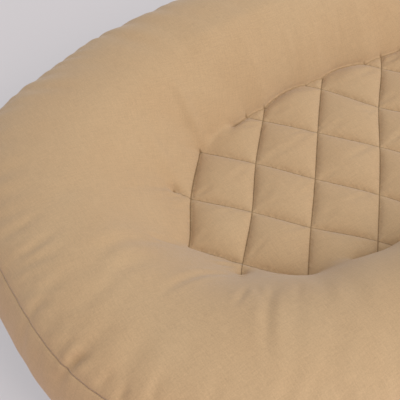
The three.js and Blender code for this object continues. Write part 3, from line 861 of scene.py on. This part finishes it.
def split_at_seam():
    """The top panel and the side band as two cloths, each with its edge turned in at the seam."""
    before = set(bpy.data.objects)
    alone(cover)
    bpy.ops.object.mode_set(mode="EDIT")
    bpy.ops.mesh.select_all(action="SELECT")
    bpy.ops.mesh.separate(type="MATERIAL")
    bpy.ops.object.mode_set(mode="OBJECT")
    other = (set(bpy.data.objects) - before).pop()
    found = sorted((cover, other), key=lambda piece: -points_of(piece)[:, 2].min())
    for piece, name, away in zip(found, ("top_panel", "side_band"), (1, -1)):
        piece.name = piece.data.name = name
        edge_turned_in(piece, np.abs(read_number(piece, "from_seam")) < 1e-5, away)
    return found


body, body_normals = points_of(cover)[: len(flat)], normals_of(cover)[: len(flat)]
top_panel, side_band = split_at_seam()


def settle(piece, slot, *nodes, body="cushion"):
    """Attaches a piece to the body it rides on and hides the nodes it stands for. slot is not used."""
    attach(piece, body)
    if nodes:
        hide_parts(*nodes)


# The zip's slot is cut in the band, and its edge is turned in.
ZIP_LEVEL, TAPE_LEVEL = 0.05215, 0.2613  # the height of the chain's middle, and the Y of its tapes
SLOT_REACH, SLOT_HALF = 0.1265, 0.0067  # half the slot's length and half its height
ZIP_SIDE = 0.24  # a place with a larger Y is on the side of the zip


def cut_slot():
    made = bmesh.new()
    made.from_mesh(side_band.data)
    for place, direction in (
        ((0, 0, ZIP_LEVEL - SLOT_HALF), (0, 0, 1)), ((0, 0, ZIP_LEVEL + SLOT_HALF), (0, 0, 1)),
        ((-SLOT_REACH, 0, 0), (1, 0, 0)), ((SLOT_REACH, 0, 0), (1, 0, 0)),
    ):
        back = [
            f for f in made.faces
            if all(v.co.y > ZIP_SIDE and abs(v.co.x) < 0.15 and 0.03 < v.co.z < 0.075 for v in f.verts)
        ]
        parts = set(back) | {e for f in back for e in f.edges} | {v for f in back for v in f.verts}
        bmesh.ops.bisect_plane(made, geom=list(parts), plane_co=place, plane_no=direction, dist=1e-6)
    inner = []
    for f in made.faces:
        middle = f.calc_center_median()
        if middle.y > ZIP_SIDE and abs(middle.x) < SLOT_REACH and abs(middle.z - ZIP_LEVEL) < SLOT_HALF:
            inner.append(f)
    bmesh.ops.delete(made, geom=inner, context="FACES")
    rim = [
        e for e in made.edges
        if e.is_boundary
        and all(v.co.y > ZIP_SIDE and abs(v.co.z - ZIP_LEVEL) < SLOT_HALF + 1e-4 for v in e.verts)
    ]
    for depth, spread in ((0.0008, 0.00012), (0.0008, -0.0001)):
        turned = bmesh.ops.extrude_edge_only(made, edges=rim)["geom"]
        for v in (g for g in turned if isinstance(g, bmesh.types.BMVert)):
            v.co.y -= depth
            v.co.z -= spread * (1 if v.co.z > ZIP_LEVEL else -1)
        rim = [g for g in turned if isinstance(g, bmesh.types.BMEdge) and g.is_boundary]
    for f in made.faces:
        f.smooth = True
    made.to_mesh(side_band.data)
    made.free()


cut_slot()
settle(top_panel, "cover_cloth", "cover_top_panel")
settle(side_band, "cover_cloth", "cover_side_band")


# Thread: one stitch, copied along every line.
def stitch_shape(length, radius):
    bpy.ops.mesh.primitive_uv_sphere_add(segments=6, ring_count=4, radius=1)
    one = bpy.context.object
    points = points_of(one)[:, [2, 0, 1]] * (length / 2, radius, radius)
    faces = [tuple(f.vertices) for f in one.data.polygons]
    bpy.data.objects.remove(one)
    return points, faces


def part_way(at, walked, values):
    """What rows of values have come to at a length along a route."""
    return np.array([np.interp(at, walked, values[:, k]) for k in range(3)])


def sewn_thread(name, routes, pitch, length, radius):
    """A piece of stitches along routes of points and outward directions."""
    one, one_faces = stitch_shape(length, radius)
    points, faces = [], []
    for spots, outs in routes:
        lengths = np.linalg.norm(np.diff(spots, axis=0), axis=1)
        walked = np.concatenate([[0], np.cumsum(lengths)])
        for at in np.arange(pitch / 2, walked[-1], pitch):
            begin, end = (part_way(at + off, walked, spots) for off in (-length / 2, length / 2))
            ahead = end - begin
            ahead /= np.linalg.norm(ahead)
            aside = np.cross(part_way(at, walked, outs), ahead)
            aside /= np.linalg.norm(aside)
            up = np.cross(ahead, aside)
            faces.extend(tuple(i + len(points) * len(one) for i in f) for f in one_faces)
            points.append((begin + end) / 2 + up * radius * 0.2 + one @ np.array([ahead, aside, up]))
    return new_piece(name, np.vstack(points), faces)


def on_panel(plan):
    """Where places in plan lie on the top panel, and the directions out of it there."""
    spots, outs = [], []
    for x, y in plan:
        hit, spot, out, _ = top_panel.ray_cast((x, y, 0.3), (0, 0, -1))
        spots.append(tuple(spot))
        outs.append(tuple(out))
    return np.array(spots), np.array(outs)


routes = []
for number, first, last in LINES:
    along = np.linspace(first, last, round((last - first) * 40))
    for swap in (False, True):
        fixed = np.full(len(along), float(number))
        line = plan_of(*((along, fixed) if swap else (fixed, along)))
        past = np.maximum(0, np.abs(line[:, 0]) - 0.24)
        routes.append(on_panel(line + wandered(line) * bell(past, 0.05)[:, None]))
quilting_thread = sewn_thread("quilting_thread", routes, pitch=0.0031, length=0.0026, radius=0.00026)
side, tall = SLOT_REACH + 0.003, SLOT_HALF + 0.003
corners = [(-side, -tall), (side, -tall), (side, tall), (-side, tall), (-side, -tall)]
routes = []
for (x0, z0), (x1, z1) in zip(corners, corners[1:]):
    share = np.linspace(0, 1, 160)[:, None]
    line = np.array([x0, z0]) + share * np.array([x1 - x0, z1 - z0])
    spots = np.array([tuple(side_band.ray_cast((x, 0.4, ZIP_LEVEL + dz), (0, -1, 0))[1]) for x, dz in line])
    routes.append((spots, np.tile([0.0, 1.0, 0.0], (160, 1))))
zip_thread = sewn_thread("zip_thread", routes, pitch=0.003, length=0.0024, radius=0.00022)
thread_look = Finish("thread", (0.30, 0.19, 0.085), 0.6, **{"Sheen Weight": 0.1})
slanted = thread_look.vector("DOT_PRODUCT", thread_look.place(), (9000.0, 7000.0, 8000.0), output=1)
twist = thread_look.maths("SINE", slanted)
spun = thread_look.mixed(twist * 0.5 + 0.5, (0.24, 0.148, 0.062), (0.35, 0.225, 0.103))
thread_look.feed("Base Color", spun)
thread_look.feed("Normal", thread_look.relief(twist, 0.00006))
for piece in (quilting_thread, zip_thread):
    piece.data.materials.append(thread_look.material)
    settle(piece, "cover_cloth")


# The layers inside, which follow the cover.
def under(depth, front):
    """The rows of the cover's bolster, moved in to where a layer lies, with its small folds eased out."""
    moving = (ring > 1) & (ring < row_count - 1)
    points = eased(body - body_normals * depth, 0.5 * moving, 6)
    short = depth - 0.0012 - ((body - points) * body_normals).sum(axis=1)
    points -= body_normals * np.maximum(short, 0)[:, None]
    points[:, 1] = np.minimum(points[:, 1], front)
    points[:, 2] = np.maximum(points[:, 2], depth)
    return points[ring_start:].reshape(row_count, ROUND, 3)


def let_out(outline, margin):
    """A closed outline in plan, moved outwards by a margin."""
    along = np.roll(outline, -1, axis=0) - np.roll(outline, 1, axis=0)
    out = np.stack([along[:, 1], -along[:, 0]], -1) / np.linalg.norm(along, axis=1)[:, None]
    return outline + out * margin


def layered(name, rings, looped=False, first=None, last=None):
    """A piece through rings of points, each joined to the next. first and last are points under the
    quilting's own ones, where a sheet of them closes that end. A loop joins its last ring to its first."""
    rings = np.array(rings)
    sheets = [sheet for sheet in (first, last) if sheet is not None]
    points = np.vstack([rings.reshape(-1, 3), *sheets])
    faces = []
    for k in range(len(rings) if looped else len(rings) - 1):
        low, high = k * ROUND, (k + 1) % len(rings) * ROUND
        faces.extend((low + i, high + i, high + (i + 1) % ROUND, low + (i + 1) % ROUND) for i in range(ROUND))
    begin = len(rings) * ROUND
    for sheet, edge, turned in ((first, 0, False), (last, (len(rings) - 1) * ROUND, True)):
        if sheet is None:
            continue
        for face in fill:
            found = tuple(begin + i if i < len(inside) else edge + i - len(inside) for i in face)
            faces.append(found[::-1] if turned else found)
        begin += len(inside)
    piece = new_piece(name, points, faces)
    point, face = corners_of(piece)
    gone = np.concatenate([[0], np.cumsum(np.linalg.norm(np.diff(rings, axis=0), axis=2).mean(axis=1))])
    kept = points[:, :2].copy()
    around = point < len(rings) * ROUND
    farthest = np.zeros(len(piece.data.polygons), int)
    np.maximum.at(farthest, face, np.where(around, point % ROUND, 0))
    walls = np.ones(len(piece.data.polygons), bool)
    np.logical_and.at(walls, face, around)
    wraps = (farthest[face] == ROUND - 1) & (point % ROUND == 0)
    down = gone[np.minimum(point // ROUND, len(rings) - 1)]
    turns = np.stack([(point % ROUND / ROUND + wraps) * SEAM_ROUND, down], -1)
    write_map(piece, "weave", np.where(walls[face][:, None], turns, kept[point]))
    return piece


def lumps(points, size, depth, seed):
    """Unevenness of stuffing at each point, in metres, never outwards."""
    rough = np.array([noise.noise(Vector(p) / size + Vector((seed, 0, 0))) for p in points])
    return rough * depth / 2 - depth / 2


foot, foot_level = body[ring_start : ring_start + ROUND, :2], body[ring_start : ring_start + ROUND, 2]
quilted, quilted_normals = body[: len(inside)], body_normals[: len(inside)]
quilted_plan = quilted[:, :2]
middle_row = (seam_row + row_count) // 2
casing, stuffing = under(0.0042, 0.2575), under(0.0064, 0.2558)
# Levels of the layers, from the quilting down.
WADDING_FLOOR, BACKING_TOP, BACKING_BOTTOM = 0.0365, 0.0359, 0.0351
CASING_TOP, PAD_TOP, PAD_BOTTOM = 0.0345, 0.033, 0.004
STUFFING_BOTTOM, CASING_BOTTOM = 0.0042, 0.0026

upper = [level_ring(let_out(foot, 0.0025), CASING_TOP), *casing[2 : middle_row + 1]]
liner_upper = layered("inner_casing_upper", upper, first=level_ring(quilted_plan, CASING_TOP))
bottom = [oval(BASE - inset) for inset in (0.0045, 0.008, 0.02)]
bottom += [bottom[-1] * share for share in (0.85, 0.65, 0.45, 0.25, 0.08)]
lower = casing[middle_row:-1].copy()
lower[0, :, 2] -= 0.0003
floor_rings = [fuller(level_ring(edge, CASING_BOTTOM)) for edge in bottom]
liner_lower = layered("inner_casing_lower", [*lower, *floor_rings])
stuffing_rows = [
    *stuffing[2:-1],
    fuller(level_ring(oval(BASE - 0.0085), STUFFING_BOTTOM)),
    level_ring(let_out(foot, 0.006), STUFFING_BOTTOM),
]
stuffing_ring = layered("bolster_stuffing", stuffing_rows, looped=True)
shape = points_of(stuffing_ring)
uneven = lumps(shape, 0.035, 0.002, 3) + lumps(shape, 0.012, 0.0008, 9)
bulged = shape + normals_of(stuffing_ring) * uneven[:, None]
bulged[:, 2] = np.maximum(bulged[:, 2], STUFFING_BOTTOM)
set_points(stuffing_ring, bulged)
pad_rings = [
    level_ring(let_out(foot, 0.0033 - inset), height)
    for inset, height in (
        (0.009, PAD_TOP), (0.004, PAD_TOP - 0.0007), (0.0012, PAD_TOP - 0.0035), (0, 0.024),
        (0, 0.013), (0.0012, 0.0075), (0.004, 0.0048), (0.009, PAD_BOTTOM),
    )
]
pad_top = level_ring(quilted_plan, PAD_TOP + lumps(quilted, 0.03, 0.0012, 5))
pad = layered("middle_pad", pad_rings, first=pad_top, last=level_ring(quilted_plan, PAD_BOTTOM))
wad_edge = let_out(foot, -0.0008)
wad_levels = (np.minimum(foot_level - 0.003, 0.0395), WADDING_FLOOR)
wad_rings = [level_ring(wad_edge, level) for level in wad_levels]
wad_top = quilted - quilted_normals * 0.0032
wad_top[:, 2] = np.maximum(wad_top[:, 2], 0.0370)
wad_bottom = level_ring(quilted_plan, WADDING_FLOOR)
wadding = layered("quilt_wadding_soft", wad_rings, first=wad_top, last=wad_bottom)
backing_levels = (BACKING_TOP, BACKING_BOTTOM)
backing_rings = [level_ring(wad_edge, level) for level in backing_levels]
backing_top, backing_bottom = (level_ring(quilted_plan, level) for level in backing_levels)
backing = layered("quilt_backing_cloth", backing_rings, first=backing_top, last=backing_bottom)

# The base panel, drawn flat by the cushion's weight.
base_rings = [
    level_ring(oval(BASE - inset), height)
    for inset, height in ((0.0001, 0.0021), (0.0004, 0.0012), (0.0016, 0.0004), (0.005, 0.0))
]
base_edge = oval(BASE - 0.005)
for share in np.linspace(1, 0, 40)[1:-1] ** 0.8:
    ruffled = np.array([noise.noise(Vector((p[0] * 28, p[1] * 9, 1))) for p in base_edge * share])
    raised = np.maximum(ruffled, 0) * 0.0012 * smooth(1 - share, 0, 0.1)
    base_rings.append(level_ring(base_edge * share, raised))
base_panel = layered("base_panel", [fuller(edge) for edge in base_rings])
point, _ = corners_of(base_panel)
base_plan = points_of(base_panel)[point][:, :2].astype(np.float32)
base_panel.data.uv_layers["weave"].data.foreach_set("uv", base_plan.ravel())
for piece in (liner_lower, base_panel):
    made = bmesh.new()
    made.from_mesh(piece.data)
    made.verts.ensure_lookup_table()
    last_ring = [made.verts[i] for i in range(len(made.verts) - ROUND, len(made.verts))]
    made.faces.new(last_ring[::-1]).smooth = True
    made.normal_update()
    made.to_mesh(piece.data)
    made.free()

liner_look = woven_cloth("liner_cloth", (0.80, 0.77, 0.70), 0.0005, slub=0.22)
base_look = woven_cloth("base_cloth", (0.44, 0.30, 0.165), 0.0009)


def fibre_look(name, colour, scale):
    """Polyester fibre: fine tangled strands over soft tufts."""
    finish = Finish(name, colour, 0.95, **{"Sheen Weight": 0.5, "Subsurface Weight": 0.1})
    place = finish.place()
    tufts = finish.noise(place, scale, 3.0)
    swirl = finish.node("ShaderNodeTexNoise", {}, {"Vector": place, "Scale": 60.0}, 1)
    bent = finish.vector("ADD", finish.vector("MULTIPLY", place, (1.0, 0.25, 0.4)), swirl)
    strands = finish.noise(bent, 260.0, 4.0, 0.7)
    dyed = finish.mixed(tufts, colour, tinted(colour, 0.96, 0.95, 0.93))
    finish.feed("Base Color", finish.shaded(dyed, 0.86 + strands * 0.28))
    finish.feed("Normal", finish.relief(strands, 0.0007, 0.8, finish.relief(tufts, 0.004, 0.7)))
    return finish.material


stuffing_look = fibre_look("filling", (0.86, 0.85, 0.81), 45.0)
wadding_look = fibre_look("wadding", (0.87, 0.86, 0.83), 80.0)
for piece, look, slot, node, fill_share in (
    (liner_upper, liner_look, "liner_cloth", "liner_upper", 0.9),
    (liner_lower, liner_look, "liner_cloth", "liner_lower", 0.9),
    (stuffing_ring, stuffing_look, "filling", "bolster_fill", 0.9),
    (pad, stuffing_look, "filling", "centre_pad", 0.7),
    (wadding, wadding_look, "filling", "quilt_wadding", 0.6),
):
    piece.data.materials.append(look)
    settle(piece, slot, node)


def cut_area(piece, share=1.0):
    return sum(face.area for face in piece.data.polygons) * share


backing.data.materials.append(liner_look)
settle(backing, "liner_cloth", "quilt_backing")
wide, deep = np.ptp(wad_edge[:, 0]), np.ptp(wad_edge[:, 1])
min(cut_area(backing, 0.5), wide * deep)
base_panel.data.materials.append(base_look)
settle(base_panel, "base_cloth", "cover_base_panel")


# The zip.
PARTED, PARTS_FROM, PARTS_OVER = 0.00165, 0.1099, 0.0052  # how far the rows part, from what X and over what
TAPE_FIRM, TAPE_EDGE = 0.0033, 0.014  # each tape's two edges, from the middle of the chain


def parting(x):
    """How far each row stands off the middle of the zip."""
    return PARTED * np.clip((x - PARTS_FROM) / PARTS_OVER, 0, 1)


def zip_tape(name, up):
    """A woven tape with a firm edge beside the teeth and a selvedge at its other edge."""
    stretches = ((-0.130, 0.108, 160), (0.1085, 0.1165, 18), (0.117, 0.130, 10))
    x = np.concatenate([np.linspace(*stretch) for stretch in stretches])
    shares = np.array([0, 0.02, 0.06, 0.16, 0.18, 0.35, 0.5, 0.65, 0.8, 0.93, 0.97, 1])
    low = TAPE_FIRM + parting(x)
    across = low[:, None] + (TAPE_EDGE - low)[:, None] * shares
    ripple = 0.00013 * np.sin(x / 0.0047)[:, None] * smooth(across, 0.0055, 0.012)
    thick = 0.00040 - 0.00010 * smooth(shares, 0.17, 0.19)[None] + 0.00007 * (shares > 0.95)[None]
    m, n = across.shape
    reach = np.repeat(x[:, None], n, 1)
    sides = [TAPE_LEVEL + ripple + sign * thick for sign in (1, -1)]
    grid = [np.stack([reach, side, ZIP_LEVEL + up * across], -1) for side in sides]
    points = np.concatenate(grid).reshape(-1, 3)
    faces = []
    for i in range(m - 1):
        for j in range(n - 1):
            p, q, r, s = i * n + j, (i + 1) * n + j, (i + 1) * n + j + 1, i * n + j + 1
            faces += [(p, s, r, q), (m * n + p, m * n + q, m * n + r, m * n + s)]
    loop = [i * n for i in range(m)] + [(m - 1) * n + j for j in range(1, n)]
    loop += [i * n + n - 1 for i in range(m - 2, -1, -1)] + list(range(n - 2, 0, -1))
    for p, q in zip(loop, loop[1:] + loop[:1]):
        faces.append((p, q, m * n + q, m * n + p))
    if up < 0:
        faces = [f[::-1] for f in faces]
    return new_piece(name, points, faces)


tape_finish = Finish("zip_tape", (0.42, 0.29, 0.16), 0.85, **{"Sheen Weight": 0.2})
x, _, tall = tape_finish.parts(tape_finish.place())
zigzag = tape_finish.maths("PINGPONG", tall - ZIP_LEVEL, 0.0022)
ribs = tape_finish.maths("SINE", (x + zigzag) * (2 * math.pi / 0.0009))
speck = tape_finish.noise(tape_finish.place(), 1500.0, 2.0)
dyed = tape_finish.mixed(speck, (0.40, 0.275, 0.15), (0.44, 0.305, 0.17))
tape_finish.feed("Base Color", tape_finish.shaded(dyed, 0.97 + ribs * 0.07))
tape_finish.feed("Normal", tape_finish.relief(ribs + speck, 0.00009))
for name, up, node in (("tape_upper", 1, "zip_tape_upper"), ("tape_lower", -1, "zip_tape_lower")):
    tape = zip_tape(name, up)
    tape.data.materials.append(tape_finish.material)
    settle(tape, "zip_tape", node)

plastic = Finish("zip_teeth", (0.39, 0.27, 0.15), 0.42)
cloudy = plastic.noise(plastic.place(), 700.0, 3.0)
plastic.feed("Base Color", plastic.mixed(cloudy, (0.375, 0.258, 0.142), (0.405, 0.282, 0.158)))
plastic.feed("Roughness", 0.36 + cloudy * 0.16)
plastic.feed("Normal", plastic.relief(cloudy, 0.00003))
for node in ("zip_stop_upper", "zip_stop_lower", "zip_bottom_stop"):
    frame["nodes"][node].data.materials.clear()
    frame["nodes"][node].data.materials.append(plastic.material)

enamel = Finish("zip_slider", (0.37, 0.25, 0.14), 0.34, **{"Coat Roughness": 0.2})
worn = enamel.noise(enamel.place(), 420.0, 4.0, 0.6)
rubbed = enamel.smooth(worn, 0.60, 0.68)
enamel.feed("Base Color", enamel.mixed(rubbed, (0.37, 0.25, 0.14), (0.46, 0.40, 0.32)))
enamel.feed("Roughness", 0.30 + worn * 0.14)
enamel.feed("Metallic", rubbed * 0.6 + 0.15)
enamel.feed("Coat Weight", 0.5 - rubbed * 0.4)
enamel.feed("Normal", enamel.relief(worn, 0.00003))


def rounded_copy(node, name, width, rounds, material):
    """A CAD solid's shape as a piece of its own, with its edges rounded."""
    piece = frame["nodes"][node].copy()
    piece.data = piece.data.copy()
    piece.name = piece.data.name = name
    bpy.context.scene.collection.objects.link(piece)
    for key in list(piece.keys()):
        del piece[key]
    alone(piece)
    bpy.ops.object.mode_set(mode="EDIT")
    bpy.ops.mesh.select_all(action="SELECT")
    bpy.ops.mesh.remove_doubles(threshold=1e-6)
    bpy.ops.mesh.dissolve_limited(angle_limit=math.radians(1))
    bpy.ops.object.mode_set(mode="OBJECT")
    sharp = math.radians(35)
    finish_with(piece, "BEVEL", width=width, segments=rounds, limit_method="ANGLE", angle_limit=sharp)
    bpy.ops.object.shade_smooth_by_angle(angle=sharp)
    piece.data.materials.clear()
    piece.data.materials.append(material)
    return piece


for node, name, width, rides in (
    ("zip_slider", "slider_body", 0.00022, "slider"), ("zip_pull", "pull_tab", 0.0003, "pull"),
):
    settle(rounded_copy(node, name, width, 2, enamel.material), "zip_slider", node, body=rides)
# The two rows of teeth, as copies of their nodes with rounded edges.
for node, name, still in (
    ("zip_teeth_upper", "teeth_upper", 0.0552), ("zip_teeth_lower", "teeth_lower", 0.0491),
):
    row = rounded_copy(node, name, 0.00012, 1, plastic.material)
    settle(row, "zip_teeth", node)
    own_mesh(row)

# Camera, floor and light.
camera = bpy.data.objects.new("camera", bpy.data.cameras.new("camera"))
bpy.context.scene.collection.objects.link(camera)
bpy.context.scene.camera = camera
camera.data.sensor_width = 36
camera.data.lens = 69.7
camera.data.clip_start = 0.01
camera.data.clip_end = 50
gaze = Vector((0.322, 0.518, -0.792))
camera.location = (-0.450, -0.366, 0.662)
camera.rotation_mode = "QUATERNION"
camera.rotation_quaternion = gaze.to_track_quat("-Z", "Y")

bpy.ops.mesh.primitive_plane_add(size=8)
floor = bpy.context.object
floor.name = "floor"
floor_look = Finish("floor", (0.78, 0.64, 0.60), 0.9)
seen = floor_look.node("ShaderNodeLightPath", output=0)
glow = floor_look.node("ShaderNodeEmission", {}, {"Color": (0.56, 0.592, 0.64, 1), "Strength": 1.0})
lit = Reading(floor_look, floor_look.shader.outputs[0])
shown = floor_look.node("ShaderNodeMixShader", {}, {0: seen * 0.6, 1: lit, 2: glow})
floor_look.tree.links.new(shown.socket, floor_look.tree.nodes["Material Output"].inputs["Surface"])
floor.data.materials.append(floor_look.material)
floor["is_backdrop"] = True

world = bpy.data.worlds.new("room")
bpy.context.scene.world = world
world.use_nodes = True
world.node_tree.nodes["Background"].inputs["Color"].default_value = (1, 1, 1, 1)
world.node_tree.nodes["Background"].inputs["Strength"].default_value = 0.65


def lamp(name, place, target, size, power, tint):
    light = bpy.data.objects.new(name, bpy.data.lights.new(name, "AREA"))
    bpy.context.scene.collection.objects.link(light)
    light.data.size = size
    light.data.energy = power
    light.data.color = tint
    light.location = place
    light.rotation_mode = "QUATERNION"
    light.rotation_quaternion = (Vector(target) - Vector(place)).to_track_quat("-Z", "Y")


lamp("window", (0.85, -1.65, 1.9), (-0.05, 0, 0.1), 1.8, 48, (1, 1, 1))
lamp("wall_bounce", (-1.5, -0.7, 0.24), (-0.38, -0.1, 0.06), 0.7, 1.7, (1, 0.62, 0.5))

bpy.context.scene.view_settings.view_transform = "Standard"

low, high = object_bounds()
